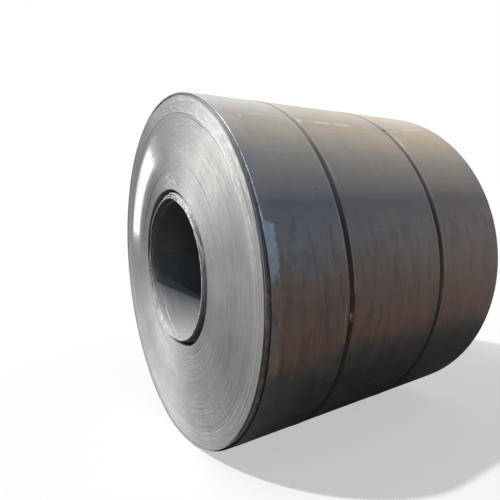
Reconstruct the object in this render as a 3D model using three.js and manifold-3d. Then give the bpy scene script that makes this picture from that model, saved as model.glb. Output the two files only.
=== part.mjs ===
// A hot-rolled steel coil lying on its side: one strip wound round an open eye, held by two flat
// steel straps, each closed by a crimped seal. Millimetres, +Z up. The coil's axis runs along X,
// and the origin is on the floor below the middle of the coil.

import * as THREE from 'three';
import { mergeVertices } from 'three/addons/utils/BufferGeometryUtils.js';
import Module from 'manifold-3d';

// ---------- Driving dimensions ----------

// The strip and the coil wound from it
const stripWidth = 1500;
const stripThickness = 6;
const outerDiameter = 1845;
const eyeDiameter = 762;

// Innermost lap: the strip's narrower head end, so its edges lie inside the coil's ends
const headEndSetback = 45;

// Loose inner laps: a ring round the eye that leans to one side, with a crescent gap round it
const looseLaps = 4;
const looseRoom = 40;
const looseDepth = 160;
const recessRise = 12;
const leanDirection = THREE.MathUtils.degToRad(-47);
const leanContact = 0.8;

// Bands of turns that stand a little in or out of the coil's ends, with a parting line between
const bandCount = 6;
const bandDepth = 4.5;
const bandSway = 2.2;
const bandTurn = 2.1;
const nearPhase = 0;
const farPhase = 1.7;
const partingWidth = 3;
const partingDepth = 7;

// Slack outermost laps with a slit under each, and how far each is set back from the two ends,
// the inner lap first
const slackSlit = 1.5;
const slackSlitDepth = 45;
const nearSetbacks = [6, 24];
const farSetbacks = [5, 2];

// Straps round the coil, with the overlap of their ends, how far each lies inside its end of the
// coil, and the flat that its seal sits on
const strapWidth = 25;
const strapThickness = 1;
const strapSeat = 0.3;
const strapOverlap = 190;
const nearStrapInset = 410;
const farStrapInset = 496;
const nearSealFlat = -2;
const farSealFlat = 9;

// Seals: folded sleeves with crimped notches, one on each strap
const sealLength = 44;
const sealThickness = 1.2;
const sealClearance = 0.35;
const notchWidth = 7;
const notchDepth = 3;
const notchPitch = 18;

// Sides of every turned form: a multiple of four, so that one flat lies underneath
const sides = 64;

// ---------- Worked out from them ----------

const halfWidth = stripWidth / 2;
const coilRadius = outerDiameter / 2;
const eyeRadius = eyeDiameter / 2;
const ringInnerRadius = eyeRadius + stripThickness;
const ringOuterRadius = ringInnerRadius + looseLaps * stripThickness;
const lean = looseRoom / 2;
const recessRadius = ringOuterRadius + lean;
const slackPitch = stripThickness + slackSlit;
const bodyRadius = coilRadius - nearSetbacks.length * slackPitch;
const strapInnerRadius = coilRadius + strapSeat;
const strapOuterRadius = strapInnerRadius + strapThickness;
const overlapOuterRadius = strapOuterRadius + strapThickness;
const axisHeight = strapOuterRadius;
const strapPlaces = [
  { x: nearStrapInset - halfWidth, sealFlat: nearSealFlat },
  { x: halfWidth - farStrapInset, sealFlat: farSealFlat },
];
const flatAngle = (2 * Math.PI) / sides;
// Corners lie this much further out than flats, so that each radius is measured to the flats
const cornerFactor = 1 / Math.cos(flatAngle / 2);
// What a joined or cut form reaches past the face that it meets
const reach = 0.2;

const wasm = await Module();
wasm.setup();

// ---------- Helpers ----------

// A closed THREE geometry as a solid
function toSolid(geometry) {
  const bare = geometry.clone();
  bare.deleteAttribute('normal');
  bare.deleteAttribute('uv');
  const merged = mergeVertices(bare);
  const vertProperties = new Float32Array(merged.attributes.position.array);
  const triVerts = new Uint32Array(merged.index.array);
  return new wasm.Manifold(new wasm.Mesh({ numProp: 3, vertProperties, triVerts }));
}

// A solid as a THREE geometry
function toGeometry(solid) {
  const { vertProperties, triVerts } = solid.getMesh();
  const geometry = new THREE.BufferGeometry();
  geometry.setAttribute('position', new THREE.BufferAttribute(vertProperties, 3));
  geometry.setIndex(new THREE.BufferAttribute(triVerts, 1));
  geometry.computeVertexNormals();
  return geometry;
}

// Turns a closed profile of [radius, x] points round the X axis
function turned(profile) {
  const points = profile.map(([radius, x]) => new THREE.Vector2(radius * cornerFactor, x));
  points.push(points[0].clone());
  const geometry = new THREE.LatheGeometry(points, sides, flatAngle / 2);
  geometry.rotateZ(-Math.PI / 2);
  return geometry;
}

// A ring of rectangular section round the X axis
function ring(innerRadius, outerRadius, xStart, xEnd) {
  return turned([
    [outerRadius, xStart],
    [outerRadius, xEnd],
    [innerRadius, xEnd],
    [innerRadius, xStart],
  ]);
}

// A plain disc along the X axis, moved sideways off it
function disc(radius, xStart, xEnd, y, z) {
  const corner = radius * cornerFactor;
  const geometry = new THREE.CylinderGeometry(corner, corner, xEnd - xStart, sides, 1);
  geometry.rotateZ(-Math.PI / 2);
  geometry.translate((xStart + xEnd) / 2, y, z);
  return geometry;
}

// Moves a geometry drawn on top of the coil (tangent along Y, outward along Z) to another flat.
// Flat 0 faces -Y, and the flats count up over the top.
function toFlat(geometry, flat) {
  geometry.rotateX(Math.PI / 2 - flat * flatAngle);
  return geometry;
}

function piece(name, geometry, material) {
  const mesh = new THREE.Mesh(geometry, material);
  mesh.name = name;
  return mesh;
}

// ---------- The coil ----------

// How far band number `band` lies inside the end: a slow sway from band to band
function bandInset(band, phase) {
  return bandDepth + bandSway * Math.sin(bandTurn * band + phase);
}

// Bands of turns between the loose ring and the slack laps, from the eye outward
function bandPoints(phase) {
  const pitch = (bodyRadius - ringOuterRadius) / bandCount;
  const points = [];
  for (let band = 0; band < bandCount; band += 1) {
    const inset = bandInset(band, phase);
    const start = ringOuterRadius + band * pitch;
    const isFirst = band === 0;
    const isLast = band === bandCount - 1;
    if (!isFirst) points.push([start, inset + partingDepth]);
    points.push([isFirst ? start : start + partingWidth / 2, inset]);
    points.push([isLast ? start + pitch : start + pitch - partingWidth / 2, inset]);
  }
  return points;
}

// Slack laps, each with a slit under it, from the body outward
function slackPoints(setbacks) {
  const points = [];
  setbacks.forEach((setback, index) => {
    const outside = bodyRadius + (index + 1) * slackPitch;
    const inside = outside - stripThickness;
    points.push([inside - slackSlit, slackSlitDepth]);
    points.push([inside, slackSlitDepth]);
    points.push([inside, setback]);
    points.push([outside, setback]);
  });
  return points;
}

// One end of the coil as [radius, depth inside the end], from the eye outward
function endPoints(phase, setbacks) {
  return [
    [eyeRadius, headEndSetback],
    [ringInnerRadius, headEndSetback],
    [ringInnerRadius, 0],
    [ringOuterRadius, 0],
    ...bandPoints(phase),
    ...slackPoints(setbacks),
  ];
}

// The crescent gap round the loose inner laps, open at the near end: the room between a round
// recess and the ring of laps that leans against one side of it
function crescentGap() {
  const ringY = lean * Math.cos(leanDirection);
  const ringZ = recessRise + lean * Math.sin(leanDirection);
  const xStart = -halfWidth - reach;
  const xEnd = -halfWidth + looseDepth;
  const recess = toSolid(disc(recessRadius, xStart, xEnd, 0, recessRise));
  const laps = disc(ringOuterRadius + leanContact, xStart - reach, xEnd + reach, ringY, ringZ);
  return recess.subtract(toSolid(laps));
}

function coilGeometry() {
  const near = endPoints(nearPhase, nearSetbacks).map(([radius, depth]) => [radius, depth - halfWidth]);
  const far = endPoints(farPhase, farSetbacks).map(([radius, depth]) => [radius, halfWidth - depth]);
  const wound = toSolid(turned([...near, ...far.reverse()]));
  return toGeometry(wound.subtract(crescentGap()));
}

// ---------- Straps and seals ----------

// A closed strap ring, thicker where its ends lie on each other under the seal
function strapGeometry({ x, sealFlat }) {
  const xStart = x - strapWidth / 2;
  const xEnd = x + strapWidth / 2;
  const band = toSolid(ring(strapInnerRadius, strapOuterRadius, xStart, xEnd));
  const second = toSolid(ring(strapOuterRadius - reach, overlapOuterRadius, xStart, xEnd));
  const window = new THREE.BoxGeometry(2 * strapWidth, strapOverlap, coilRadius);
  window.translate(x, 0, coilRadius);
  const overlap = second.intersect(toSolid(toFlat(window, sealFlat)));
  return toGeometry(band.add(overlap));
}

// The sleeve's section: a channel over the strap with its lips down beside the strap's edges
function sealSection() {
  const insideHalf = strapWidth / 2 + sealClearance;
  const outsideHalf = insideHalf + sealThickness;
  const lipFoot = coilRadius + strapSeat;
  const ceiling = overlapOuterRadius + sealClearance;
  const top = ceiling + sealThickness;
  const shape = new THREE.Shape();
  shape.moveTo(-outsideHalf, lipFoot);
  shape.lineTo(-insideHalf, lipFoot);
  shape.lineTo(-insideHalf, ceiling);
  shape.lineTo(insideHalf, ceiling);
  shape.lineTo(insideHalf, lipFoot);
  shape.lineTo(outsideHalf, lipFoot);
  shape.lineTo(outsideHalf, top);
  shape.lineTo(-outsideHalf, top);
  shape.closePath();
  return shape;
}

// A crimped notch: a wedge that bites into the sleeve's edge from one side
function notch(side, y) {
  const edge = strapWidth / 2 + sealClearance + sealThickness;
  const shape = new THREE.Shape();
  shape.moveTo(side * (edge + reach), y - notchWidth / 2);
  shape.lineTo(side * (edge + reach), y + notchWidth / 2);
  shape.lineTo(side * (edge - notchDepth), y);
  shape.closePath();
  const height = 4 * (strapThickness + sealThickness + sealClearance);
  const geometry = new THREE.ExtrudeGeometry(shape, { depth: height, bevelEnabled: false });
  geometry.translate(0, 0, coilRadius);
  return toSolid(geometry);
}

function sealGeometry({ x, sealFlat }) {
  const sleeve = new THREE.ExtrudeGeometry(sealSection(), { depth: sealLength, bevelEnabled: false });
  sleeve.rotateX(Math.PI / 2);
  sleeve.translate(0, sealLength / 2, 0);
  let seal = toSolid(sleeve);
  for (const side of [-1, 1]) {
    for (const y of [-notchPitch / 2, notchPitch / 2]) {
      seal = seal.subtract(notch(side, y));
    }
  }
  const geometry = toFlat(toGeometry(seal), sealFlat);
  geometry.translate(x, 0, 0);
  return geometry;
}

// ---------- The object ----------

const steel = new THREE.MeshStandardMaterial({ color: 0x6c6a68, roughness: 0.45, metalness: 0.8 });
const strapSteel = new THREE.MeshStandardMaterial({ color: 0x2a2725, roughness: 0.5, metalness: 0.7 });
const sealSteel = new THREE.MeshStandardMaterial({ color: 0x4b4a48, roughness: 0.45, metalness: 0.8 });

const coilGroup = new THREE.Group();
coilGroup.position.z = axisHeight;
coilGroup.add(piece('coil', coilGeometry(), steel));
strapPlaces.forEach((place, index) => {
  coilGroup.add(piece(`strap_${index + 1}`, strapGeometry(place), strapSteel));
  coilGroup.add(piece(`seal_${index + 1}`, sealGeometry(place), sealSteel));
});

const group = new THREE.Group();
group.add(coilGroup);

export default group;
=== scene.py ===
import bpy
import numpy as np
from mathutils import Matrix, Vector


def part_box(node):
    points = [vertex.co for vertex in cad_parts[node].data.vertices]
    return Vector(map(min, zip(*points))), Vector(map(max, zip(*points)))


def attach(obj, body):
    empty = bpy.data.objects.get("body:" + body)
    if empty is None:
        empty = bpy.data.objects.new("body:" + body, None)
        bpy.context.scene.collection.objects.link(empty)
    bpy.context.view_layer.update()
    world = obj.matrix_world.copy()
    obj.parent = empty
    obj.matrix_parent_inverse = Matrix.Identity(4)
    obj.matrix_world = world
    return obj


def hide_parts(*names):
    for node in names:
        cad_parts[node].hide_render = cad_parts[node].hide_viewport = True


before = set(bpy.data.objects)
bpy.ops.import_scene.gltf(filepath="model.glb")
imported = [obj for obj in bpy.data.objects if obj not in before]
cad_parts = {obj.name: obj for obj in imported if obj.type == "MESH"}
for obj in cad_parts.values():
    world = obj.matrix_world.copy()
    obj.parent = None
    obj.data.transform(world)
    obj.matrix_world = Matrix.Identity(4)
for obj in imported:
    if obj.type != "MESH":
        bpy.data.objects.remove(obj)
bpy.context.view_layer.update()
print("frame loaded")

# The strap rests on the floor, so the coil's axis lies half of the strap's box above it
axisZ = (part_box("strap_1")[0].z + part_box("strap_1")[1].z) / 2
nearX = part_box("coil")[0].x
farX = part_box("coil")[1].x

# Angles round the coil are in degrees: 0 is level on the -Y side, 90 is on top, 180 is level on +Y


# 0 at a and before it, 1 at b and past it, and 3 t^2 - 2 t^3 at the share t of the way between
def rise(v, a, b):
    t = np.clip((v - a) / (b - a), 0, 1)
    return t * t * (3 - 2 * t)


# 1 where the gap is 0 and near 0 past the half width: e to the power of minus (gap / half width)
# to the fourth
def plateau(gap, halfWidth):
    return np.exp(-(gap / halfWidth) ** 4)


# The same round the coil, by the gap in degrees to the centre angle, so that it repeats every turn
def hump(angle, centre, halfWidth):
    return plateau((angle - centre + 180) % 360 - 180, halfWidth)


# A value for every angle from values at evenly spaced angles, joined by a smooth closed curve: on
# each span, a cubic whose slope at each value is half the step between its two neighbours
def roundTable(angle, values):
    v = np.asarray(values, float)
    place = (np.asarray(angle) % 360) * len(v) / 360
    i = np.floor(place).astype(int)
    t = place - i
    before, here, after, later = (v[(i + k) % len(v)] for k in (-1, 0, 1, 2))
    slope0, slope1 = (after - before) / 2, (later - here) / 2
    rest = here - after
    return here + t * (slope0 - t * (3 * rest + 2 * slope0 + slope1)
                       + t * t * (2 * rest + slope0 + slope1))


# Points from radius, angle and place along the axis: x is the place, -y the radius times the
# angle's cosine, and z the axis's height plus the radius times its sine
def onCoil(radius, angle, x):
    a = np.radians(angle)
    radius, a, x = np.broadcast_arrays(radius, a, x)
    return np.stack([x, -radius * np.cos(a), axisZ + radius * np.sin(a)], -1)


# Puts an object of a mesh, lamp or camera into the scene
def placed(name, data):
    made = bpy.data.objects.new(name, data)
    bpy.context.scene.collection.objects.link(made)
    return made


# A mesh from a grid of points: four-sided faces between neighbours, wrapped where asked, and the
# two open ends of a wrapped profile closed by one face each. The winding follows the volume's sign.
def gridPiece(name, points, wrapCols, finishes, rowFinish, keepSharp):
    rows, cols = points.shape[:2]
    i, j = np.meshgrid(np.arange(rows), np.arange(cols if wrapCols else cols - 1), indexing="ij")
    i2, j2 = (i + 1) % rows, (j + 1) % cols
    quads = np.stack([i * cols + j, i * cols + j2, i2 * cols + j2, i2 * cols + j], -1).reshape(-1, 4)
    co = points.reshape(-1, 3)
    corners = co[quads] - co.mean(0)
    volume = np.einsum("ij,ij->i", corners[:, 0], np.cross(corners[:, 1], corners[:, 2])).sum()
    volume += np.einsum("ij,ij->i", corners[:, 0], np.cross(corners[:, 2], corners[:, 3])).sum()
    if volume < 0:
        quads = quads[:, ::-1]
    sizes = np.full(len(quads), 4)
    loops = quads.reshape(-1)
    if not wrapCols:
        first, last = np.arange(rows) * cols, np.arange(rows) * cols + cols - 1
        ends = [first, last[::-1]] if volume < 0 else [first[::-1], last]
        loops = np.concatenate([loops, *ends])
        sizes = np.append(sizes, [rows, rows])
    mesh = bpy.data.meshes.new(name)
    mesh.vertices.add(len(co))
    mesh.vertices.foreach_set("co", co.ravel().astype(np.float32))
    mesh.loops.add(len(loops))
    mesh.loops.foreach_set("vertex_index", loops.astype(np.int32))
    mesh.polygons.add(len(sizes))
    mesh.polygons.foreach_set("loop_start", (np.cumsum(sizes) - sizes).astype(np.int32))
    mesh.polygons.foreach_set("use_smooth", np.ones(len(sizes), bool))
    for finish in finishes:
        mesh.materials.append(finish)
    if rowFinish is not None:
        slots = np.repeat(rowFinish, cols if wrapCols else cols - 1)
        slots = np.append(slots, [rowFinish[0]] * (len(sizes) - len(slots)))
        mesh.polygons.foreach_set("material_index", slots.astype(np.int32))
    mesh.update(calc_edges=True)
    mesh.set_sharp_from_angle(angle=np.radians(keepSharp))
    return placed(name, mesh)


# Gives a piece its body and hides the CAD node that it stands for
def settle(piece, node):
    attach(piece, "root")
    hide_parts(node)
    print("made", piece.name, len(piece.data.polygons), "faces")


# Wraps an output socket, so that a Python expression on it adds the nodes that work it out
class Sum:
    def __init__(self, tree, socket):
        self.tree, self.socket = tree, socket

    def math(self, operation, *values, clamp=False):
        return node(self.tree, "ShaderNodeMath", {"operation": operation, "use_clamp": clamp},
                    **{str(n): v for n, v in enumerate(values)})

    def __add__(self, other):
        return self.math("ADD", self, other)

    def __radd__(self, other):
        return self.math("ADD", other, self)

    def __sub__(self, other):
        return self.math("SUBTRACT", self, other)

    def __rsub__(self, other):
        return self.math("SUBTRACT", other, self)

    def __mul__(self, other):
        return self.math("MULTIPLY", self, other)

    def __rmul__(self, other):
        return self.math("MULTIPLY", other, self)

    def __truediv__(self, other):
        return self.math("DIVIDE", self, other)

    def root(self):
        return self.math("SQRT", self)

    def size(self):
        return self.math("ABSOLUTE", self)

    # held between 0 and 1
    def kept(self):
        return self.math("ADD", self, 0, clamp=True)

    # 0 at a and before it, 1 at b and past it, and an S-shaped rise between them
    def rise(self, a, b):
        return node(self.tree, "ShaderNodeMapRange", {"interpolation_type": "SMOOTHSTEP"},
                    **{"0": self, "1": a, "2": b, "3": 0.0, "4": 1.0})


# Adds a node: its settings first, then its inputs by name or number, and gives its output as a Sum
def node(tree, kind, settings=None, output=0, **inputs):
    made = tree.nodes.new(kind)
    for key, value in (settings or {}).items():
        if key == "stops":
            ramp = made.color_ramp
            while len(ramp.elements) < len(value):
                ramp.elements.new(0.5)
            for element, (place, colour) in zip(ramp.elements, value):
                element.position, element.color = place, (*colour, 1)
        else:
            setattr(made, key, value)
    for key, value in inputs.items():
        place = made.inputs[int(key)] if key.isdigit() else made.inputs[key.replace("_", " ")]
        if isinstance(value, Sum):
            tree.links.new(value.socket, place)
        elif isinstance(value, tuple) and len(value) == 3 and place.type == "RGBA":
            place.default_value = (*value, 1)
        else:
            place.default_value = value
    return Sum(tree, made.outputs[output])


# Colour a where the factor is 0, b where it is 1, and their mixture between
def blend(a, b, factor):
    return node(factor.tree, "ShaderNodeMix", {"data_type": "RGBA"}, output=2,
                **{"0": factor, "6": a, "7": b})


# A material with its shader's even values set, and the sums for x, y, height above the axis and
# distance from it. `fill` gets them and returns what feeds the shader's sockets.
def finish(name, fill, **even):
    material = bpy.data.materials.new(name)
    material.use_nodes = True
    tree = material.node_tree
    shader = tree.nodes["Principled BSDF"]
    for key, value in even.items():
        shader.inputs[key.replace("_", " ")].default_value = value
    place = node(tree, "ShaderNodeTexCoord", output=3)
    x, y, up = (node(tree, "ShaderNodeSeparateXYZ", output=n, **{"0": place}) for n in range(3))
    z = up - axisZ
    radius = (y * y + z * z).root()
    for key, value in fill(x, y, z, radius).items():
        tree.links.new(value.socket, shader.inputs[key.replace("_", " ")])
    return material


# Noise whose grain is stretched: x, y and z are multiplied before the lookup
def grain(x, y, z, detail, roughness=0.5):
    spot = node(x.tree, "ShaderNodeCombineXYZ", **{"0": x, "1": y, "2": z})
    return node(x.tree, "ShaderNodeTexNoise", Vector=spot, Scale=1.0, Detail=detail,
                Roughness=roughness)


# Noise that changes along one value only
def lineNoise(along, detail, roughness):
    return node(along.tree, "ShaderNodeTexNoise", {"noise_dimensions": "1D"}, W=along, Scale=1.0,
                Detail=detail, Roughness=roughness)


# Cosine of the angle round the coil between the shaded place and a chosen angle in degrees
def facing(y, z, radius, angle):
    a = np.radians(angle)
    return (z * float(np.sin(a)) - y * float(np.cos(a))) / radius


# What a fill returns: a colour, a roughness, and a normal tilted by the slope of a height, which is
# scaled by a distance in metres
def surface(colour, roughness, height, distance):
    bump = node(height.tree, "ShaderNodeBump", Height=height, Distance=distance, Strength=1.0)
    return {"Base_Color": colour, "Roughness": roughness, "Normal": bump}


# A colour times a tone
def scaled(colour, tone):
    return node(tone.tree, "ShaderNodeVectorMath", {"operation": "SCALE"}, **{"0": colour, "3": tone})


# A colour times another colour
def tinted(colour, tint):
    return node(colour.tree, "ShaderNodeVectorMath", {"operation": "MULTIPLY"},
                **{"0": colour, "1": tint})


# A colour that is tinted where the share is 1 and unchanged where it is 0
def washed(colour, tint, share):
    return blend(colour, tinted(colour, tint), share)


# A colour read from a list of stops, each placed from -1 to 1
def fromStops(level, stops):
    shares = [((place + 1) / 2, colour) for place, colour in stops]
    return node(level.tree, "ShaderNodeValToRGB", {"stops": shares}, Fac=(level + 1) / 2)


scaleLook = {
    # colour by height above the axis, as a share of the radius: a dark foot of painted shade, a brown
    # flank that is partly rust and partly painted reflection of the ground, grey, a bluish line of
    # painted reflection of the horizon, then paler up to the shoulder, partly dust and partly painted
    # reflection of the sky
    "bands": [(-1.0, (0.02, 0.02, 0.02)), (-0.40, (0.024, 0.022, 0.020)), (-0.26, (0.10, 0.05, 0.03)),
              (-0.02, (0.10, 0.065, 0.05)), (0.18, (0.12, 0.12, 0.13)), (0.35, (0.075, 0.08, 0.10)),
              (0.40, (0.13, 0.13, 0.14)), (0.55, (0.23, 0.22, 0.20)), (0.72, (0.44, 0.38, 0.30)),
              (0.88, (0.55, 0.51, 0.44)), (1.0, (0.36, 0.35, 0.32))],
    # tints: the near part is cooler, and the far part ruddier below and paler above, the paler part
    # being painted light
    "nearBelow": (0.98, 1.10, 1.25),
    "nearAbove": (0.90, 0.96, 1.03),
    "farBelow": (0.96, 0.80, 0.70),
    "farAbove": (1.12, 1.06, 0.98),
    "warm": (1.07, 0.985, 0.92),
    "cool": (0.95, 1.0, 1.06),
    "ruddy": (1.06, 0.96, 0.98),
    "olive": (0.95, 1.04, 0.98),
    "tan": (0.40, 0.29, 0.22),
    "edgeBlue": (0.25, 0.37, 0.52),
    "edgePale": (0.26, 0.31, 0.37),
    "edgeHaze": (0.135, 0.145, 0.19),
    "edgeCool": (0.985, 1.035, 1.13),
    "farCool": (0.88, 0.95, 1.06),
    "edgeGrey": (0.135, 0.118, 0.100),
    "edgePink": (0.150, 0.118, 0.108),
    "speck": (0.020, 0.018, 0.017),
    "scratched": (1.75, 1.75, 1.70),
    "baredAndSunlit": (0.66, 0.62, 0.56),
    # places along the axis of the paler lines rubbed beside the straps
    "rubbed": (-0.365, -0.320, 0.231, 0.281),
    "roughness": 0.45,
    # start and end along the axis, height share at the start, rise along it, width and strength
    "scratches": ((-0.33, -0.20, 0.782, -0.06, 0.0020, 0.5),
                  (-0.22, -0.11, 0.773, 0.010, 0.0030, 1.0),
                  (-0.10, 0.02, 0.775, 0.01, 0.0028, 0.9),
                  (-0.33, -0.29, 0.769, 0.0, 0.0055, 0.8),
                  (-0.646, -0.616, 0.764, 0.0, 0.0045, 0.9),
                  (-0.60, -0.48, 0.785, 0.030, 0.0022, 0.6),
                  (-0.48, -0.36, 0.790, -0.12, 0.0022, 0.5),
                  (0.30, 0.38, 0.765, 0.10, 0.0030, 0.4),
                  (0.44, 0.64, 0.792, 0.09, 0.0065, 0.35),
                  (-0.28, 0.04, 0.060, -0.010, 0.0016, 0.25),
                  (0.38, 0.40, -0.058, 0.0, 0.0030, 0.6)),
    "barePlace": (0.281, 0.695),  # place along the axis and height share of the bared streak
    "strapShadowPlace": 0.2515,  # place along the axis of the painted shadow at the far strap
}


# Colour by height from the ramp of painted reflection and shade, uneven in its lower part, tinted
# towards each end, under stains, scratches and specks, and times a tone that is one plus streaks and
# spots
def scaleFill(x, y, z, radius):
    look = scaleLook
    h = z / radius
    wander = grain(x * 1.6, y * 1.3, z * 1.3, 3.0)
    across = grain(x * 3.0, y * 16, z * 16, 4.0, 0.6)
    lines = grain(x * 1.2, y * 70, z * 70, 3.0, 0.65).rise(0.25, 0.75)
    along = grain(x * 38, y * 5, z * 5, 4.0, 0.65).rise(0.28, 0.72)
    blotch = grain(x * 9, y * 11, z * 11, 5.0, 0.62).rise(0.25, 0.75)
    hue = grain(x * 6 + 7, y * 9, z * 9, 4.0, 0.6)
    fine = grain(x * 420, y * 60, z * 60, 2.0, 0.6)
    low = h.rise(0.34, 0.20)
    runs = grain(x * 30, y * 4, z * 4, 3.0, 0.6)
    level = h + low * ((wander - 0.5) * 0.10 + (across - 0.5) * 0.07 + (blotch - 0.5) * 0.06
                       + (runs - 0.5) * 0.20)
    colour = fromStops(level, look["bands"])
    below = h.rise(0.50, 0.32)
    near = (x + (wander - 0.5) * 0.2).rise(-0.12, -0.52)
    far = x.rise(0.10, 0.36)
    for side, share in (("near", near), ("far", far)):
        tint = blend(look[side + "Above"], look[side + "Below"], below)
        colour = washed(colour, tint, share)
    warmth = 0.5 + (hue.rise(0.34, 0.66) - 0.5) * (1 - h.rise(0.3, 0.6) * 0.45)
    colour = blend(tinted(colour, look["cool"]), tinted(colour, look["warm"]), warmth)
    brown = h.rise(0.12, 0.0) * h.rise(-0.36, -0.28)
    streaks = grain(x * 15 + 2, y * 4, z * 4, 3.0).rise(0.35, 0.65)
    colour = washed(colour, blend(look["ruddy"], look["olive"], streaks), brown)
    tan = h.rise(0.60, 0.66) * h.rise(0.86, 0.76) * (across - 0.35).rise(0.0, 0.3)
    colour = blend(colour, look["tan"], tan * x.rise(-0.45, -0.20) * 0.5)
    # stains along the near end: a bluish haze, a blue patch with a ragged edge, and a grey one below
    chip = grain(x * 60, y * 45, z * 45, 3.0, 0.6).rise(0.3, 0.7)
    inward = x - nearX + (chip - 0.5) * 0.012
    ragged = h + (chip - 0.5) * 0.05
    haze = inward.rise(0.090, 0.020) * ragged.rise(0.18, 0.34) * h.rise(0.72, 0.50)
    colour = blend(colour, look["edgeHaze"], haze * 0.5)
    colour = washed(colour, look["edgeCool"], inward.rise(0.100, 0.030) * h.rise(0.35, 0.5))
    colour = washed(colour, look["farCool"], x.rise(0.63, 0.74) * h.rise(0.35, 0.5))
    grey = inward.rise(0.076, 0.062) * ragged.rise(0.13, 0.06) * ragged.rise(-0.42, -0.25)
    colour = blend(colour, blend(look["edgeGrey"], look["edgePink"], inward.rise(0.030, 0.060)),
                   grey * (0.35 + blotch * 0.5))
    reach = 0.063 - h.rise(0.262, 0.285) * 0.036
    blue = (inward - reach).rise(0.003, -0.002) * ragged.rise(0.02, 0.08) * ragged.rise(0.34, 0.30)
    paint = blend(look["edgeBlue"], look["edgePale"], ragged.rise(0.22, 0.07))
    colour = blend(colour, paint, blue * y.rise(0.2, -0.2) * (0.60 + blotch * 0.40))
    for start, end, height, slope, width, strength in look["scratches"]:
        off = (h - (height + (x - start) * slope) + (blotch - 0.5) * 0.004).size()
        ends = x.rise(start, start + 0.01) * x.rise(end, end - 0.02) * y.rise(0.2, -0.2)
        mark = off.rise(width * 1.6, width * 0.4) * ends
        colour = washed(colour, look["scratched"], mark * strength)
    specks = grain(x * 55, y * 55, z * 55, 1.0)
    colour = blend(colour, look["speck"], specks.rise(0.76, 0.80) * 0.7)
    strokes = grain(x * 26 + 5, y * 7, z * 7, 4.0, 0.65).rise(0.48, 0.72)
    tone = 1 + (along - 0.5) * (low * 0.17 + 0.05) + (lines - 0.5) * (0.07 - low * 0.02)
    tone = tone + (across - 0.5) * (0.22 - h.rise(0.3, 0.5) * 0.10) + (fine - 0.5) * 0.2
    tone = tone + (blotch - 0.5) * (h.rise(-0.2, -0.4) * 0.4 + 0.18) + (0.22 - strokes) * low * 0.46
    for middle in look["rubbed"]:
        line = (x - middle).size().rise(0.006, 0.002) * h.rise(-0.35, -0.15) * along
        tone = tone + line * (0.4 + h.rise(0.6, 0.3) * 0.6)
    # a bared streak below the far seal, and a painted shadow along the far strap
    bareX, bareHeight = look["barePlace"]
    baredAndSunlit = (x - bareX).size().rise(0.018, 0.004) * (h - bareHeight).size().rise(0.080, 0.020)
    baredAndSunlit = baredAndSunlit * y.rise(0.2, -0.2) * (0.6 + blotch * 0.4)
    colour = blend(colour, look["baredAndSunlit"], baredAndSunlit * 0.8)
    strapShadow = (x - look["strapShadowPlace"]).size().rise(0.024, 0.013) * h.rise(0.48, 0.30)
    tone = tone * (1 - strapShadow * 0.30)
    tone = tone * (1 + near * h.rise(0.76, 0.90) * 0.25)
    # the far edge's middle height lies in shade
    shade = x.rise(0.52, 0.72) * h.rise(-0.22, -0.08) * h.rise(0.26, 0.10) * y.rise(0.0, -0.3)
    tone = tone * (1 - shade * 0.22)
    rough = look["roughness"] + (fine - 0.5) * 0.14 + (blotch - 0.5) * 0.16
    return surface(scaled(colour, tone), rough, fine + along * 0.6, 0.0003)


endLook = {
    "bright": (0.40, 0.40, 0.40),
    "dull": (0.215, 0.215, 0.22),
    "cool": (0.988, 1.0, 0.998),
    "warm": (1.014, 1.0, 0.985),
    "cream": (1.045, 1.02, 0.950),
    "rimGain": 0.16,  # how much paler the outermost turns are
    "rimFrom": 0.819,  # and the radius from which they are
    "rimShadeMiddle": 12,  # the angle about which painted shade darkens the outermost turns
    "rimShadeFrom": (0.892, 0.914),  # and the radii between which that painted shade fades in
    "smearMiddle": 48,  # the angle about which the turns are smeared
    "warmMiddle": 43,  # the angle about which they are paler and warmer
    "warmRadius": 0.74,  # and the radius about which they are
    "glintMiddle": 87,  # the angle about which glints are painted on the turns by the eye
    # angle, gain in tone, cosine of the reach and outer radius of each sector of painted sheen, where
    # the gain is above 0, and of painted shade, where it is below
    "paintedSheenAndShade": ((152, -0.24, 0.55, 1.0), (-76, 0.20, 0.70, 1.0), (84, 0.07, 0.88, 1.0),
                  (28, -0.14, 0.90, 0.78), (-168, 0.11, 0.88, 1.0)),
    # radius, half width, middle angle, cosine of the reach and gain of darker groups of turns: the
    # first is painted contact shade beside the eye
    "darkerTurns": ((0.454, 0.016, 216, 0.80, -0.22), (0.874, 0.040, 36, 0.96, -0.10)),
    # grain along the radius and round it, detail and roughness of arcs, flecks, strokes and smears
    "marks": ((210, 2, 3.0, 0.6), (160, 7, 2.0, 0.6), (75, 5, 3.0, 0.6), (110, 15, 4.0, 0.65)),
    "roughness": 0.57,
    "polished": 0.13,  # roughness of the pressed patch
    "grit": 0.0010,  # height of the small marks that scatter the sheen
}


# The pressed patch on the near end, a part of a ring: its middle angle, the radii between which it
# fades in and out, and the cosines of the angle from its middle between which it fades in
pressed = {"middle": 137, "rings": (0.560, 0.655, 0.768, 0.828), "cosines": (0.72, 0.92)}
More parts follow.
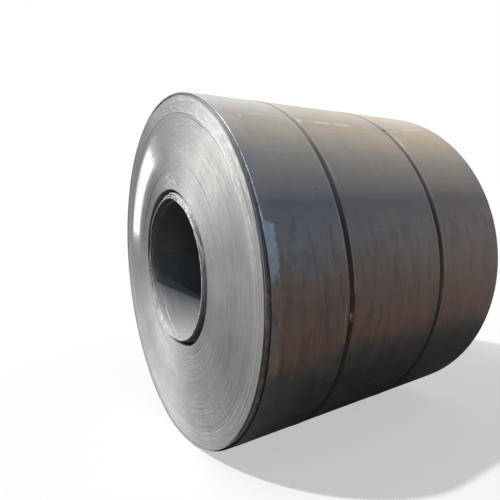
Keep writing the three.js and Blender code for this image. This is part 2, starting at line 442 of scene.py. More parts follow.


# A mixture of two greys by noise along the radius and by spots, times a tone that is the product of one
# plus the gain of each marked place, among them painted sheen, shade and glints, and smoother on the
# pressed patch
def endFill(x, y, z, radius):
    look = endLook
    rings = lineNoise(radius * 330, 3.0, 0.7)
    broad = lineNoise(radius * 60, 2.0, 0.6)
    spots = grain(x * 9, y * 9, z * 9, 4.0)
    grit = grain(x * 300, y * 300, z * 300, 2.0, 0.6)
    arcs, flecks, strokes, smears = (
        grain(radius * outward, y / radius * around, z / radius * around, detail, roughness)
        for outward, around, detail, roughness in look["marks"])
    smears = smears.rise(0.50, 0.74)
    a, b, c, d = pressed["rings"]
    toPatch = facing(y, z, radius, pressed["middle"])
    patch = radius.rise(a, b) * (1 - radius.rise(c, d)) * toPatch.rise(*pressed["cosines"])
    patch = patch * (x - nearX).rise(0.05, 0.02)
    edgeLines = (rings - 0.5) * (0.15 + radius.rise(0.84, 0.90) * 0.30)
    calm = 1 - (z / radius).rise(0.45, 0.80) * 0.5
    mixed = (broad * 0.3 + edgeLines + spots * 0.45 + (arcs - 0.5) * calm * 0.36 + 0.095).kept()
    colour = blend(look["dull"], look["bright"], mixed)
    hue = grain(x * 6 + 3, y * 6, z * 6, 3.0).rise(0.36, 0.64)
    colour = tinted(colour, blend(look["cool"], look["warm"], hue))
    tone = 1 + radius.rise(look["rimFrom"], look["rimFrom"] + 0.012) * look["rimGain"]
    tone = tone * (1 + (strokes - 0.5) * calm * 0.28)
    # painted shade on the outermost turns
    toRimShade = facing(y, z, radius, look["rimShadeMiddle"])
    rimShade = (radius + (arcs - 0.5) * 0.020).rise(*look["rimShadeFrom"]) * toRimShade.rise(0.82, 0.92)
    tone = tone * (1 - rimShade * 0.68)
    smeared = facing(y, z, radius, look["smearMiddle"]).rise(0.5, 0.95)
    toWarm = facing(y, z, radius, look["warmMiddle"])
    warmed = (radius - look["warmRadius"]).size().rise(0.14, 0.04) * toWarm.rise(0.962, 0.997)
    tone = tone * (1 + smears * smeared * (0.22 + radius.rise(0.78, 0.84) * 0.28) + warmed * 0.09)
    colour = washed(colour, look["cream"], (smears * smeared + warmed * 0.6).kept())
    # painted glints on the turns above the eye
    glints = facing(y, z, radius, look["glintMiddle"]).rise(0.972, 0.995)
    glints = glints * radius.rise(0.448, 0.460) * radius.rise(0.56, 0.51) * x.rise(0.0, -0.5)
    glintGrain = grain(radius * 60, y * 75, z * 30, 3.0, 0.6).rise(0.52, 0.60)
    tone = tone * (1 + glints * glintGrain * 0.9)
    # sectors of painted sheen and painted shade
    for middle, gain, wide, outer in look["paintedSheenAndShade"]:
        toMiddle = facing(y, z, radius, middle)
        tone = tone * (1 + toMiddle.rise(wide, 0.96) * radius.rise(outer + 0.04, outer) * gain)
    # darker turns, the first of them painted contact shade
    for middleRadius, halfWidth, middle, wide, gain in look["darkerTurns"]:
        toDarker = facing(y, z, radius, middle)
        darkerBand = (radius - middleRadius).size().rise(halfWidth, 0.0)
        tone = tone * (1 + darkerBand * toDarker.rise(wide, 0.15 * wide + 0.85) * gain)
    rough = look["roughness"] + (spots - 0.5) * 0.14
    rough = rough + (look["polished"] - rough) * patch
    marks = (rings * 0.5 + grit + flecks.rise(0.5, 0.8) * 0.8) * (1 - patch * 0.97)
    return surface(scaled(colour, tone), rough, marks, look["grit"])


boreLook = {
    "upper": (0.032, 0.028, 0.027),
    "blue": (0.024, 0.031, 0.040),
    # slope and level of two slanting lines: the first is the painted edge of the sun's shadow, and the
    # dark scale ends where z + slope * x falls below its level, with painted sunlight below; the scale
    # turns bluish below the second one's
    "line": (0.557, -0.496),
    "seam": (0.336, -0.110),
    # colour of the painted sunlight by its distance below the line, in thirds of a metre
    "baredAndSunlit": [(0.0, (0.15, 0.165, 0.19)), (0.25, (0.31, 0.315, 0.325)), (0.60, (0.43, 0.42, 0.42)),
              (0.86, (0.56, 0.55, 0.54))],
    # radii between which the bore's colours give way to those of a gap's wall
    "wallFrom": (0.404, 0.412),
    "wallTop": (0.035, 0.035, 0.035),
    "wallFoot": (0.32, 0.32, 0.32),
    "roughness": 0.55,
}


# Dark scale above a slanting line, the painted edge of the sun's shadow, and painted sunlight below it,
# which brightens with its distance from the line, and plain greys past the radius where a gap's wall
# lies
def boreFill(x, y, z, radius):
    look = boreLook
    streak = grain(x * 40, y * 3, z * 3, 3.0, 0.6)
    blotch = grain(x * 5, y * 5, z * 5, 4.0)
    slope, line = look["line"]
    past = z + x * slope - line + (streak - 0.5) * 0.003
    seamSlope, seamLine = look["seam"]
    edge = z + x * seamSlope - seamLine + (blotch - 0.5) * 0.06
    upper = scaled(look["upper"], 0.76 + z.rise(0.30, 0.10) * 0.62)
    # the blue grows lighter downwards, then darker again lower down, as painted shade over the sun's
    # light above the painted shadow edge
    gain = 1.2 + z.rise(0.05, -0.10) * 0.45 - z.rise(-0.10, -0.20) * 0.35
    blue = scaled(look["blue"], gain * (1 + x.rise(-0.66, -0.48) * 0.35))
    dark = blend(upper, blue, edge.rise(0.03, -0.03))
    seam = edge.size().rise(0.010, 0.003) * y.rise(0.1, 0.25) * x.rise(-0.30, -0.42)
    dark = scaled(dark, 1 + seam * 0.45)
    # painted sunlight below the painted shadow edge
    colour = blend(dark, fromStops(past * -3, look["baredAndSunlit"]), past.rise(0.002, -0.006))
    wall = blend(look["wallTop"], look["wallFoot"], z.rise(0.08, -0.34))
    colour = blend(colour, wall, radius.rise(*look["wallFrom"]))
    tone = 0.80 + streak.rise(0.3, 0.7) * 0.14 + blotch * 0.20
    rough = look["roughness"] + (streak - 0.5) * 0.2
    return surface(scaled(colour, tone), rough, streak, 0.0003)


wallLook = {"top": (0.045, 0.045, 0.046), "foot": (0.16, 0.16, 0.16), "roughness": 0.6}


# Grey that darkens upwards, times noise
def wallFill(x, y, z, radius):
    blotch = grain(x * 30, y * 12, z * 12, 4.0)
    colour = blend(wallLook["top"], wallLook["foot"], z.rise(0.16, -0.10))
    rough = wallLook["roughness"] + (blotch - 0.5) * 0.2
    return surface(scaled(colour, 0.6 + blotch * 0.8), rough, blotch, 0.0004)


# greys of the loose laps' outer face: painted light at the top and painted shade low down
ringLook = {"top": (0.62, 0.62, 0.61), "middle": (0.30, 0.30, 0.30), "low": (0.060, 0.060, 0.064),
            "roughness": 0.5}


# Three greys by height, painted light at the top and painted shade low down, times noise stretched
# round the coil
def ringFill(x, y, z, radius):
    streak = grain(x * 90, y * 14, z * 14, 4.0, 0.65).rise(0.3, 0.7)
    colour = blend(ringLook["low"], ringLook["middle"], z.rise(-0.25, 0.03))
    colour = blend(colour, ringLook["top"], z.rise(0.19, 0.36))
    rough = ringLook["roughness"] + (streak - 0.5) * 0.2
    return surface(scaled(colour, 0.55 + streak * 0.9), rough, streak, 0.0004)


slitLook = {"upper": (0.85, 0.98, 1.20), "dark": (0.060, 0.054, 0.050),
            "brown": (0.150, 0.128, 0.112), "roughness": 0.6}


# The outer surface's ramp, with its painted reflection and shade, darkened as painted shade between the
# laps and tinted, on the flanks' upper part, and dark and brown spots below that and at the very top
def slitFill(x, y, z, radius):
    h = z / radius
    blotch = grain(x * 70, y * 26, z * 26, 4.0, 0.6)
    upper = fromStops(h, scaleLook["bands"])
    lower = blend(slitLook["dark"], slitLook["brown"], blotch.rise(0.38, 0.62))
    upper = tinted(upper, slitLook["upper"])
    colour = blend(scaled(upper, 0.62 + blotch * 0.6), scaled(lower, 1 + h.rise(-0.25, 0.0) * 0.5),
                   (h.rise(0.14, -0.04) + h.rise(0.86, 0.95)).kept())
    return surface(colour, slitLook["roughness"] + (blotch - 0.5) * 0.2, blotch, 0.0006)


brightLook = {"colour": (0.62, 0.62, 0.61), "roughness": 0.4}


# Bright edges, times nicks, less what is shaded on the +Y side and deep inside
def brightFill(x, y, z, radius):
    nick = grain(x * 120, y * 55, z * 55, 4.0, 0.65).rise(0.32, 0.68)
    shaded = y.rise(0.05, 0.30) * (z.rise(-0.20, 0.08) * 0.46 + 0.10)
    deep = (x - nearX).rise(0.012, 0.030)
    tone = (0.25 + nick * 1.0) * (1 - shaded) * (1 - deep * z.rise(-0.20, 0.0) * 0.65)
    tone = tone * (1 - y.rise(0.10, 0.24) * z.rise(-0.10, -0.22) * (0.16 + deep * 0.40))
    # edges far down the crescent gap lie in the dark
    sunk = (x - nearX).rise(0.021, 0.030) * z.rise(-0.26, -0.31) * y.rise(0.07, 0.01)
    tone = tone * (1 - sunk * 0.86)
    rough = brightLook["roughness"] + (nick - 0.5) * 0.2
    return surface(scaled(brightLook["colour"], tone), rough, nick, 0.0004)


# middle angle of the stretch darkened by painted shade, the cosines between which it fades in on each
# of the two laps, and the radii that part the laps
lipLook = {"dark": (0.022, 0.020, 0.020), "middle": -30, "outerLap": (0.70, 0.86),
           "innerLap": (0.90, 0.96), "between": (0.9162, 0.9150)}


# The turns' look, with a stretch darkened by painted shade, pale nicks on the outer lap and painted
# shade on the inner one
def lipFill(x, y, z, radius):
    fill = endFill(x, y, z, radius)
    nick = grain(x * 90, y * 90, z * 90, 3.0)
    toward = facing(y, z, radius, lipLook["middle"]) + (nick - 0.5) * 0.15
    inner = radius.rise(*lipLook["between"])  # 1 on the inner lap and 0 on the outer
    # the stretch of painted shade on both laps
    dark = toward.rise(*lipLook["outerLap"]) * (1 - inner) + toward.rise(*lipLook["innerLap"]) * inner
    gain = (1.3 + z.rise(0.62, 0.50) * 1.6) * (1 - inner)
    worn = 1 + y.rise(-0.50, -0.66) * z.rise(0.1, 0.3) * nick.rise(0.35, 0.6) * gain
    # painted shade on the inner lap
    worn = worn * (1 - inner * z.rise(0.15, 0.50) * y.rise(0.1, -0.2) * 0.45)
    fill["Base_Color"] = blend(scaled(fill["Base_Color"], worn), lipLook["dark"], dark)
    return fill


strapLook = {
    # dark below and paler towards the top
    "bands": [(-1.0, (0.017, 0.016, 0.016)), (0.28, (0.018, 0.017, 0.017)), (0.56, (0.10, 0.096, 0.09)),
              (0.85, (0.41, 0.40, 0.38))],
    "rust": (0.055, 0.022, 0.014),
    "roughness": 0.6,
}


# The strap's ramp by height, with rust in patches and at the height of the near overlap, times
# lengthwise streaks
def strapFill(x, y, z, radius):
    h = z / radius
    streak = grain(x * 260, y * 2.5, z * 2.5, 3.0, 0.6)
    patch = grain(x * 14, y * 14, z * 14, 4.0).rise(0.3, 0.7)
    colour = fromStops(h + (patch - 0.5) * 0.05, strapLook["bands"])
    overlap = h.rise(-0.01, -0.05) * h.rise(-0.20, -0.15) * (1 - x.rise(-0.2, 0.2) * 0.4)
    rust = (patch.rise(0.5, 1.0) * h.rise(0.55, 0.40) * 0.4 + overlap * 0.7).kept()
    colour = blend(colour, strapLook["rust"], rust)
    rough = strapLook["roughness"] + (patch - 0.5) * 0.2
    return surface(scaled(colour, 0.6 + streak * 0.8), rough, streak, 0.0003)


sealLook = {"dark": (0.055, 0.036, 0.030), "worn": (0.18, 0.165, 0.15), "blue": (0.24, 0.37, 0.52),
            "roughness": 0.38}


# Two dark tones in patches, and blue paint above a height that only the far seal reaches
def sealFill(x, y, z, radius):
    patch = grain(x * 60, y * 60, z * 60, 4.0).rise(0.3, 0.7)
    rough = sealLook["roughness"] + (patch - 0.5) * 0.2
    colour = blend(sealLook["dark"], sealLook["worn"], patch.rise(0.6, 1.0))
    colour = blend(colour, sealLook["blue"], z.rise(0.698, 0.720) * (1.0 - patch * 0.4))
    return surface(colour, rough, patch, 0.0003)


millScale = finish("mill_scale", scaleFill, Metallic=0.0, IOR=1.45)
endSteel = finish("cut_edges", endFill, Metallic=0.85)
boreSteel = finish("bore_scale", boreFill, Metallic=0.0)
wallSteel = finish("recess_scale", wallFill, Metallic=0.0)
ringSteel = finish("loose_lap_scale", ringFill, Metallic=0.0)
slitSteel = finish("slit_scale", slitFill, Metallic=0.0)
lipSteel = finish("lap_edge", lipFill, Metallic=0.85)
brightSteel = finish("sheared_edge", brightFill, Metallic=0.5)
strapSteel = finish("strap_steel", strapFill, Metallic=0.0, Specular_IOR_Level=0.12)
sealSteel = finish("seal_steel", sealFill, Metallic=0.1, Specular_IOR_Level=0.2)
print("finishes ready")


woundCoil = {
    "laps": 78,
    "around": 192,
    "firstRadius": 0.431,  # where the turns begin outside the loose laps
    "bodyRadius": 0.9073,
    # radius of the outermost turn at the near end, in mm, every 30 degrees
    "rim": [896, 905, 908, 907, 908, 908, 908, 908, 908, 908, 907, 899.5],
    # radius of the recess round the loose laps, in mm, every 30 degrees
    "boreWall": [421, 427, 433, 447, 460, 461, 451, 425, 411.5, 394, 410, 418],
    "tightRadius": 0.421,  # the bore's wall deeper inside
    "pocketDepth": 0.16,
    # share of the turns that follow the recess, and the share from which they follow the rim
    "followRecess": 0.3,
    "followRim": 0.85,
    "inset": 0.0045,  # how far the turns' edges lie inside the near end, on average
    "sway": 0.0016,
    "swayTurn": 2.1,  # radians of the sway for each sway pitch outwards
    "swayFrom": 0.411,
    "swayPitch": 0.0826,
    "farPhase": 1.7,
    "jitter": 0.0004,
    "crown": 0.0022,  # how far each rounded edge stands out of the groove beside it
    # the rounded edge, as shares of the way to the next turn and of the groove's depth
    "profile": ((0.0, 1.0), (0.15, 0.38), (0.32, 0.10), (0.55, 0.0), (0.82, 0.30)),
    # radius, depth, middle angle and half width of each place where some turns lie further in
    "steps": ((0.819, 0.0050, 92, 52), (0.584, 0.0020, 45, 25), (0.533, 0.0034, 125, 36),
              (0.515, 0.0028, 138, 40), (0.486, 0.0030, 142, 40), (0.462, 0.0024, 150, 42),
              (0.473, 0.0030, -64, 20)),
    "stepWidth": 0.005,
    "lip": (0.0012, 0.0014),  # the last turn's rounded corner, across and along
    "wallLip": 0.002,  # and how far inside the first turn's edge the recess's wall starts
    "slit": (0.05, 0.12),  # depths between which the slit's floor goes from the rim to the body
    "farPoints": 76,
    "seed": 4,
}


# Radius of the recess round the loose laps, by its table
def boreWall(angle):
    return roundTable(angle, woundCoil["boreWall"]) / 1000


# How far each turn's edge lies inside the end: a slow sway outwards, a random offset for each
# turn, and a slow wave round it
def turnInset(nominal, angle, offsets, phases, phase):
    p = woundCoil
    slow = p["inset"] + p["sway"] * np.sin(
        p["swayTurn"] * (nominal - p["swayFrom"]) / p["swayPitch"] + phase)
    wave = 0.35 * p["jitter"] * np.sin(np.radians(angle) + phases)
    return slow + p["jitter"] * offsets + wave


# A profile turned round the axis: rounded turns on the near end, the slit's floor, plain turns on the
# far end, and the bore with its pocket. The near part is pulled in or out by the tables.
def makeWoundCoil():
    p = woundCoil
    rng = np.random.default_rng(p["seed"])
    angle = np.arange(p["around"]) * 360 / p["around"]
    laps = np.arange(p["laps"])[:, None]
    first = p["firstRadius"]
    pitch = (p["bodyRadius"] - first) / p["laps"]
    nominal = first + laps * pitch
    offsets = rng.uniform(-1, 1, (p["laps"], 1))
    phases = rng.uniform(0, 2 * np.pi, (p["laps"], 1))
    pull = (1 - rise(laps / p["laps"], 0, p["followRecess"])) * (boreWall(angle) - first)
    rim = roundTable(angle, p["rim"]) / 1000
    pull = pull + rise(laps / p["laps"], p["followRim"], 1.0) * (rim - p["bodyRadius"])
    inset = turnInset(nominal, angle, offsets, phases, 0)
    for radius, depth, middle, halfWidth in p["steps"]:
        group = np.exp(-((nominal - radius) / p["stepWidth"]) ** 2)
        inset = inset + depth * group * hump(angle, middle, halfWidth)
    a, b, c, d = pressed["rings"]
    near, far = pressed["cosines"]
    patch = rise(nominal, a, b) * (1 - rise(nominal, c, d)) * rise(
        np.cos(np.radians(angle - pressed["middle"])), near, far)
    inset = inset + (p["inset"] - inset) * patch
    rows, xs = [], []
    for part, drop in p["profile"]:
        rows.append(nominal + pull + part * pitch)
        xs.append(nearX + inset + drop * p["crown"] * (1 - patch))
    nearR = np.stack(rows, 1).reshape(-1, p["around"])
    nearXs = np.stack(xs, 1).reshape(-1, p["around"])
    flat = np.ones_like(angle)
    across, lengthwise = p["lip"]
    start, end = p["slit"]
    rimR = np.stack([rim - across, rim, rim, flat * p["bodyRadius"]])
    rimX = np.stack([nearXs[-1], nearXs[-1] + lengthwise, flat * (nearX + start), flat * (nearX + end)])
    farNominal = np.linspace(p["bodyRadius"], p["tightRadius"], p["farPoints"])[:, None]
    pairs = p["farPoints"] // 2
    farOffsets = np.repeat(rng.uniform(-1, 1, (pairs, 1)), 2, 0)
    farPhases = np.repeat(rng.uniform(0, 2 * np.pi, (pairs, 1)), 2, 0)
    farXs = farX - turnInset(farNominal, angle, 2 * farOffsets, farPhases, p["farPhase"])
    farR = farNominal * flat
    tight = p["tightRadius"] * flat
    deep = nearX + p["pocketDepth"]
    boreR = np.stack([tight, boreWall(angle), boreWall(angle)])
    boreX = np.stack([deep * flat, deep * flat, nearXs[0] + p["wallLip"]])
    radius = np.concatenate([nearR, rimR, farR, boreR])
    x = np.concatenate([nearXs, rimX, farXs, boreX])
    rowFinish = np.concatenate([
        np.zeros(len(nearR)), np.ones(len(rimR)), np.zeros(len(farR) - 1), [2, 3, 3, 3]])  # by slot
    return gridPiece("wound_coil", onCoil(radius, angle, x), True,
                     [endSteel, slitSteel, boreSteel, wallSteel], rowFinish, 50)


settle(makeWoundCoil(), "coil")


looseLaps = {
    "turns": 4,
    "perTurn": 144,
    "start": 70,  # where the strip's inner end lies
    "thickness": 0.0060,
    "pitch": 0.0064,
    # inner radius at the near end, in mm, every 30 degrees, before the turns' pitch and spread
    "innerRadius": [358, 365, 372, 391, 394, 404, 410, 389, 375, 359, 354, 352],
    # how far the turns spread, in mm, every 30 degrees: each point of the strip takes this times its
    # share of the strip's length, raised to the spread's power
    "spread": [0, 2, 14, 23, 6, 5, 20, 0, 0, 0, 0, 0],
    "tightInner": 0.3812,  # the first turn's inner radius deeper inside
    # how far the first turn lies inside, in mm, every 30 degrees
    "headSetback": [12, 10, 14, 47, 33, 22, 24, 46, 44, 20, 10, 12],
    "headEnds": (330, 365),  # degrees from the start in which that fades out
    # turn, centre angle, half width and depth of each stretch whose edge lies deeper in the bore
    "deepStretches": ((1, 222, 44, 0.012), (2, 222, 42, 0.006), (1, 175, 26, 0.010),
                      (2, 178, 26, 0.010), (3, 182, 26, 0.009), (4, 182, 26, 0.007),
                      (3, -38, 54, 0.046), (3, 322, 56, 0.048), (3, 378, 30, 0.022),
                      (2, 132, 26, 0.030), (3, 128, 33, 0.046), (4, 112, 48, 0.050)),
    "tail": 200,  # how many degrees the last turn takes to reach the recess's wall
    "tailSetback": 0.047,
    "wallGap": 0.0006,
    "edgeInset": 0.0005,
    # the first turn's setback at the far end, and the degrees from the start in which it fades out
    "farHead": (0.0445, 200, 350),
    "looseDepth": (0.02, 0.22),  # depths between which the turns draw together
    "spreadPower": 1.5,
    # the strip's section: shares along it from the near edge, and shares through its thickness
    "lengthwise": (0.0, 0.0, 0.0012, 0.03, 0.07, 0.10, 0.14, 0.5, 0.9988,
                   1.0, 1.0, 0.9988, 0.5, 0.14, 0.10, 0.07, 0.03, 0.0012),
    "through": (0.8, 0.2, *[0.0] * 7, 0.2, 0.8, *[1.0] * 7),
}


# One strip wound outwards: a section carried along a spiral whose radius is the inner radius plus
# the pitch times the turns so far. Its near edge moves in and out along the way.
def makeLooseLaps():
    p = looseLaps
    sweep = p["turns"] * 360 + p["tail"]
    along = np.linspace(0, sweep, int(sweep / 360 * p["perTurn"]))
    angle = p["start"] + along
    growth = p["pitch"] * along / 360
    toWall = rise(along, sweep - p["tail"], sweep)
    wall = boreWall(angle) - p["thickness"] - p["wallGap"]
    head = roundTable(angle, p["headSetback"]) / 1000 * (1 - rise(along, *p["headEnds"]))
    setback = p["edgeInset"] + head
    for turn, centre, halfWidth, depth in p["deepStretches"]:
        setback = setback + depth * plateau(angle - (centre + 360 * turn), halfWidth)
    setback = setback + p["tailSetback"] * toWall
    nearEdge = nearX + setback
    farSetback, start, end = p["farHead"]
    farEdge = farX - p["edgeInset"] - farSetback * (1 - rise(along, start, end))
    lengthwise = np.array(p["lengthwise"])[:, None]
    through = np.array(p["through"])[:, None]
    x = nearEdge + lengthwise * (farEdge - nearEdge)
    shallow, deep = p["looseDepth"]
    loose = 1 - rise(x, nearX + shallow, nearX + deep)
    apart = roundTable(angle, p["spread"]) / 1000 * (along / sweep) ** p["spreadPower"]
    atEnd = roundTable(angle, p["innerRadius"]) / 1000 + growth + apart
    atEnd = atEnd + (wall - atEnd) * toWall
    tight = p["tightInner"] + growth
    base = tight + (atEnd - tight) * loose
    radius = base + through * p["thickness"]
    rowFinish = np.zeros(len(lengthwise))
    rowFinish[2:8] = 1  # the inner face
    rowFinish[11:17] = 2  # the outer face
    return gridPiece("loose_laps", onCoil(radius, angle, x), False,
                     [brightSteel, boreSteel, ringSteel], rowFinish, 35)


settle(makeLooseLaps(), "coil")


slackLaps = {
    "around": 288,
    # near: how far the near edge lies inside the coil's end, in mm, every 30 degrees, and nick: the
    # middle, half width and depth of a dent in it
    "inner": {"radius": 0.9089, "thickness": 0.0058, "far": 0.005, "give": 0.0046,
              "near": [4, 5, 5, 5, 4, 3, 3, 3, 3, 4, 4, 4], "nick": (92, 8, 0.018)},
    "outer": {"radius": 0.9165, "thickness": 0.0060, "far": 0.002, "give": 0.0,
              "near": [19, 17, 11, 4.5, 2, 1, 1, 1, 1, 3, 21, 22.5], "nick": (0, 1, 0)},
    "curl": 0.0009,  # how far the outer face dips towards its edges
    "curlReach": (0.07, 0.05),  # and how far in from the near and the far edge
    "wave": 0.0006,  # height of the near edge's small waves
    "givePlace": (-22, 40),  # middle and half width of the stretch that gives inwards
    "giveReach": (0.03, 0.12),  # depths between which it stops giving
    # the strip's section: shares along it and through its thickness, from the near outer corner
    "lengthwise": (0, 0.0006, 0.006, 0.014, 0.024, 0.036, 0.05, 0.07, 0.1, 0.2, 0.35, 0.5, 0.65,
                   0.8, 0.9, 0.95, 0.98, 0.9994, 1.0, 1.0, 0.9994, 0.5, 0.10, 0.05, 0.0006, 0.0),
    "through": (0.85, *[1] * 17, 0.85, 0.15, *[0] * 5, 0.15),
}


# A closed ring of strip: a section turned round the axis. Its near edge follows the table and small
# waves, and its outer face dips a little towards the edges.
def makeSlackLap(name, lap, finishes):
    p = slackLaps
    angle = np.arange(p["around"]) * 360 / p["around"]
    near = nearX + roundTable(angle, lap["near"]) / 1000
    near = near + p["wave"] * (1 + np.sin(np.radians(7 * angle)) * np.cos(np.radians(3 * angle + 40)))
    middle, halfWidth, depth = lap["nick"]
    near = near + depth * hump(angle, middle, halfWidth)
    far = farX - lap["far"] * (1 + 0.2 * np.sin(np.radians(3 * angle)))
    lengthwise = np.array(p["lengthwise"])[:, None]
    through = np.array(p["through"])[:, None]
    x = near + lengthwise * (far - near)
    nearReach, farReach = p["curlReach"]
    dip = p["curl"] * (1 - rise(x - near, 0, nearReach)) + p["curl"] * (1 - rise(far - x, 0, farReach))
    give = lap["give"] * hump(angle, *p["givePlace"]) * (1 - rise(x - near, *p["giveReach"]))
    radius = lap["radius"] - give + through * (lap["thickness"] - dip)
    rowFinish = np.zeros(len(lengthwise))
    rowFinish[[0, 24, 25]] = 1  # the near edge
    rowFinish[[17, 18, 19]] = 2  # the far edge
    return gridPiece(name, onCoil(radius, angle, x), True, finishes, rowFinish, 35)


settle(makeSlackLap("slack_lap_inner", slackLaps["inner"], [slitSteel, lipSteel, endSteel]),
       "coil")
settle(makeSlackLap("slack_lap_outer", slackLaps["outer"], [millScale, lipSteel, endSteel]),
       "coil")


straps = {
    "width": 0.025,
    "thickness": 0.0010,
    "radius": 0.9228,
    "points": 380,
    "climb": (354, 360),  # the degrees in which the tail climbs onto the start
    "tailGap": 0.0001,
    # the section: shares of the width from its middle, and shares through the thickness
    "side": (-0.5, -0.46, 0, 0.46, 0.5, 0.5, 0.46, 0, -0.46, -0.5),
    "through": (0.75, 1, 1, 1, 0.75, 0.25, 0, 0, 0, 0.25),
    # place along the axis, the angle where the strap starts, how far its ends overlap in degrees, its
    # sideways drift in mm at so many degrees from the start, and its seal's angle and drift in mm
    "near": {"x": -0.337, "start": -14, "overlap": 10.6, "seal": -9.5, "sealDrift": 2,
             "drift": ((0, 2), (7, 2), (14, -2), (22, -7), (39, -11), (69, -11), (122, -4), (302, 5),
                       (339, 9), (347, 7), (353, 3), (359, 2), (366, 3), (370.6, 5))},
    "far": {"x": 0.2535, "start": 45.6, "overlap": 10, "seal": 50.6, "sealDrift": -6,
            "drift": ((0, -6), (10, -6), (200, 0), (299, 1), (340, -3), (355, -6), (370, -6))},
}


# A strip carried once round the coil and a little further: its section moves sideways by its table,
# and its radius grows by the thickness where the tail lies on the start
def makeStrap(name, strap):
    p = straps
    sweep = 360 + strap["overlap"]
    along = np.linspace(0, sweep, p["points"])
    angle = strap["start"] + along
    centre = strap["x"] + np.interp(along, *zip(*strap["drift"])) / 1000
    over = rise(along, *p["climb"])
    side = np.array(p["side"])[:, None]
    through = np.array(p["through"])[:, None]
    x = centre + side * p["width"]
    radius = p["radius"] + through * p["thickness"] + over * (p["thickness"] + p["tailGap"])
    return gridPiece(name, onCoil(radius, angle, x), False, [strapSteel], None, 30)


settle(makeStrap("strap_near", straps["near"]), "strap_1")
settle(makeStrap("strap_far", straps["far"]), "strap_2")


seals = {
    "length": 0.044,
    "wall": 0.0012,
    "inside": 0.0129,  # half of the width inside
    "halfHeight": 0.0021,
    "radius": 0.92485,  # of the sleeve's middle
    "bendRadius": 0.9245,  # that turns its length into degrees
    "notch": 0.0030,
    "pitch": 0.018,
    "notchWidth": 0.0032,
    "bulge": 0.0004,  # how much higher each half is at a notch
    "taper": 0.12,  # how much its ends close in, and the share of its length from which
    "taperFrom": 0.46,
    "points": (49, 32),  # along it and round it
    "squareness": (0.35, 0.6),  # powers that flatten the section's sides: less is squarer
}


# A flattened sleeve round the overlap: a section whose half width and half height follow powers of
# the cosine and sine, carried along the strap and pinched from both sides at two places
def makeSeal(name, strap):
    p = seals
    lengthwise, around = p["points"]
    along = np.linspace(-0.5, 0.5, lengthwise)
    distance = along * p["length"]
    angle = strap["seal"] + np.degrees(distance / p["bendRadius"])
    pinch = np.exp(-((np.abs(distance) - p["pitch"] / 2) / p["notchWidth"]) ** 2)
    turn = np.radians(np.arange(around) * 360 / around)[:, None]
    widePower, highPower = p["squareness"]
    wide = np.sign(np.cos(turn)) * np.abs(np.cos(turn)) ** widePower
    high = np.sign(np.sin(turn)) * np.abs(np.sin(turn)) ** highPower
    endTaper = 1 - p["taper"] * rise(np.abs(along), p["taperFrom"], 0.5)
    halfWide = (p["inside"] + p["wall"] - p["notch"] * pinch) * endTaper
    halfHigh = (p["halfHeight"] + p["bulge"] * pinch) * endTaper
    x = strap["x"] + strap["sealDrift"] / 1000 + wide * halfWide
    radius = p["radius"] + high * halfHigh
    return gridPiece(name, onCoil(radius, angle, x), False, [sealSteel], None, 50)


settle(makeSeal("seal_near", straps["near"]), "seal_1")
settle(makeSeal("seal_far", straps["far"]), "seal_2")


studio = {
    "floorReach": 30,
    "floorDrop": 0.0004,
    "floorSeen": (0.80, 0.80, 0.79),
    "floorLit": (0.45, 0.45, 0.445),  # what the floor throws back onto the coil
    # distances between which the seen and the mirrored floor turn plain white
    "whiteSeen": (1.5, 3.5),
    "whiteMirrored": (2.5, 6.0),
    "fill": 0.25,  # strength of the white world where it lights the coil
    # power, width in degrees, and the direction that each sun shines from
    "suns": {"sun": (3.4, 1.8, (-0.602, 0.152, 0.784)),
             "glow": (0.45, 35, (-0.463, 0.50, 0.732))},
    # a narrow strip lamp, its top and foot, and the place on the pressed patch that it faces
    "stripPower": 2.3,
    "stripEnds": ((-1.680, 3.030, 2.150), (-1.552, 3.565, 1.030)),
    "stripWidth": 0.135,
    "stripAim": (-0.746, 0.480, 1.330),
}


# 1 for a camera, glossy or transmitted ray, and 0 for a ray that only carries light
def plainRay(tree):
    def ray(n):
        return node(tree, "ShaderNodeLightPath", output=n)
    return (ray(0) + ray(3) + ray(6)).kept()


# A white world whose strength is 1 where it is seen and the fill where it only lights
def makeWorld():
    world = bpy.data.worlds.new("studio")
    bpy.context.scene.world = world
    world.use_nodes = True
    tree = world.node_tree
    white = plainRay(tree)
    sky = tree.nodes["Background"]
    sky.inputs["Color"].default_value = (1, 1, 1, 1)
    tree.links.new((white + (1 - white) * studio["fill"]).socket, sky.inputs["Strength"])


# One large square just under the coil. Where it is seen it glows by half near the coil and wholly far
# from it, where it is mirrored it glows far off only, and it lights the coil as a matt floor.
def makeFloor():
    p = studio
    reach, drop = p["floorReach"], p["floorDrop"]
    corners = [(x * reach, y * reach, -drop) for x, y in ((-1, -1), (1, -1), (1, 1), (-1, 1))]
    mesh = bpy.data.meshes.new("floor")
    mesh.from_pydata(corners, [], [(0, 1, 2, 3)])
    floor = placed("floor", mesh)
    material = bpy.data.materials.new("pale_floor")
    material.use_nodes = True
    mesh.materials.append(material)
    tree = material.node_tree
    tree.nodes.remove(tree.nodes["Principled BSDF"])
    place = node(tree, "ShaderNodeTexCoord", output=3)
    away = node(tree, "ShaderNodeVectorMath", {"operation": "LENGTH"}, output=1, **{"0": place})
    seen = node(tree, "ShaderNodeLightPath", output=0)
    matt = node(tree, "ShaderNodeBsdfDiffuse", Color=blend(p["floorLit"], p["floorSeen"], seen))
    glow = node(tree, "ShaderNodeEmission", Color=(1, 1, 1), Strength=1.0)
    mirrored = plainRay(tree) - seen
    share = seen * (0.5 + away.rise(*p["whiteSeen"]) * 0.5) + mirrored * away.rise(*p["whiteMirrored"])
    mixed = node(tree, "ShaderNodeMixShader", **{"0": share.kept(), "1": matt, "2": glow})
    tree.links.new(mixed.socket, tree.nodes["Material Output"].inputs["Surface"])


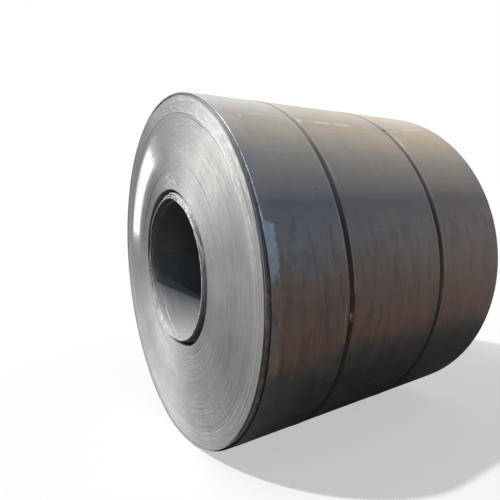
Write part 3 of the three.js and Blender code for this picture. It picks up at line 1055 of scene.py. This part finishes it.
# Two suns, one narrow and one broad, and a strip lamp mirrored in the pressed patch: its length runs
# from foot to top, and it faces the patch
def makeLamps():
    p = studio
    for name, (power, wide, source) in p["suns"].items():
        lamp = bpy.data.lights.new(name, "SUN")
        lamp.energy, lamp.angle = power, np.radians(wide)
        placed(name, lamp).rotation_euler = Vector(source).to_track_quat("Z", "Y").to_euler()
    top, foot = (np.array(end) for end in p["stripEnds"])
    area = bpy.data.lights.new("strip", "AREA")
    area.shape, area.size = "RECTANGLE", p["stripWidth"]
    area.size_y, area.energy = float(np.linalg.norm(top - foot)), p["stripPower"]
    strip = placed("strip", area)
    upward = (top - foot) / np.linalg.norm(top - foot)
    back = (top + foot) / 2 - np.array(p["stripAim"])
    sideways = np.cross(upward, back)
    sideways /= np.linalg.norm(sideways)
    turned = Matrix(np.stack([sideways, upward, np.cross(sideways, upward)], 1).tolist()).to_4x4()
    turned.translation = ((top + foot) / 2).tolist()
    strip.matrix_world = turned
    strip.visible_camera = False


# Angles in degrees: yaw is the heading from +X towards +Y, pitch is above the horizon, and roll is
# about the view. The camera stands at a place given from the middle of the coil's axis.
viewpoint = {
    "angles": (58.971, -4.035, -2.637),
    "place": (-1.5260, -2.1130, 0.2575),
    "focalLength": 409.05,  # in pixels of a square picture
    "pictureWidth": 500,
    "sensorWidth": 36,  # in mm
}


# The camera's axes worked out from its three angles: ahead from yaw and pitch, then right and up
# turned about it by the roll
def makeCamera():
    p = viewpoint
    yaw, pitch, roll = np.radians(p["angles"])
    ahead = np.array([np.cos(pitch) * np.cos(yaw), np.cos(pitch) * np.sin(yaw), np.sin(pitch)])
    level = np.array([np.sin(yaw), -np.cos(yaw), 0])
    above = np.cross(level, ahead)
    right = level * np.cos(roll) + above * np.sin(roll)
    up = -level * np.sin(roll) + above * np.cos(roll)
    data = bpy.data.cameras.new("camera")
    data.sensor_width = p["sensorWidth"]
    data.lens = p["sensorWidth"] * p["focalLength"] / p["pictureWidth"]
    camera = placed("camera", data)
    turned = Matrix(np.stack([right, up, -ahead], 1).tolist()).to_4x4()
    x, y, aboveAxis = p["place"]
    turned.translation = (x, y, axisZ + aboveAxis)
    camera.matrix_world = turned
    bpy.context.scene.camera = camera


makeWorld()
makeFloor()
makeLamps()
makeCamera()
bpy.context.scene.view_settings.view_transform = "Standard"
print("studio ready")
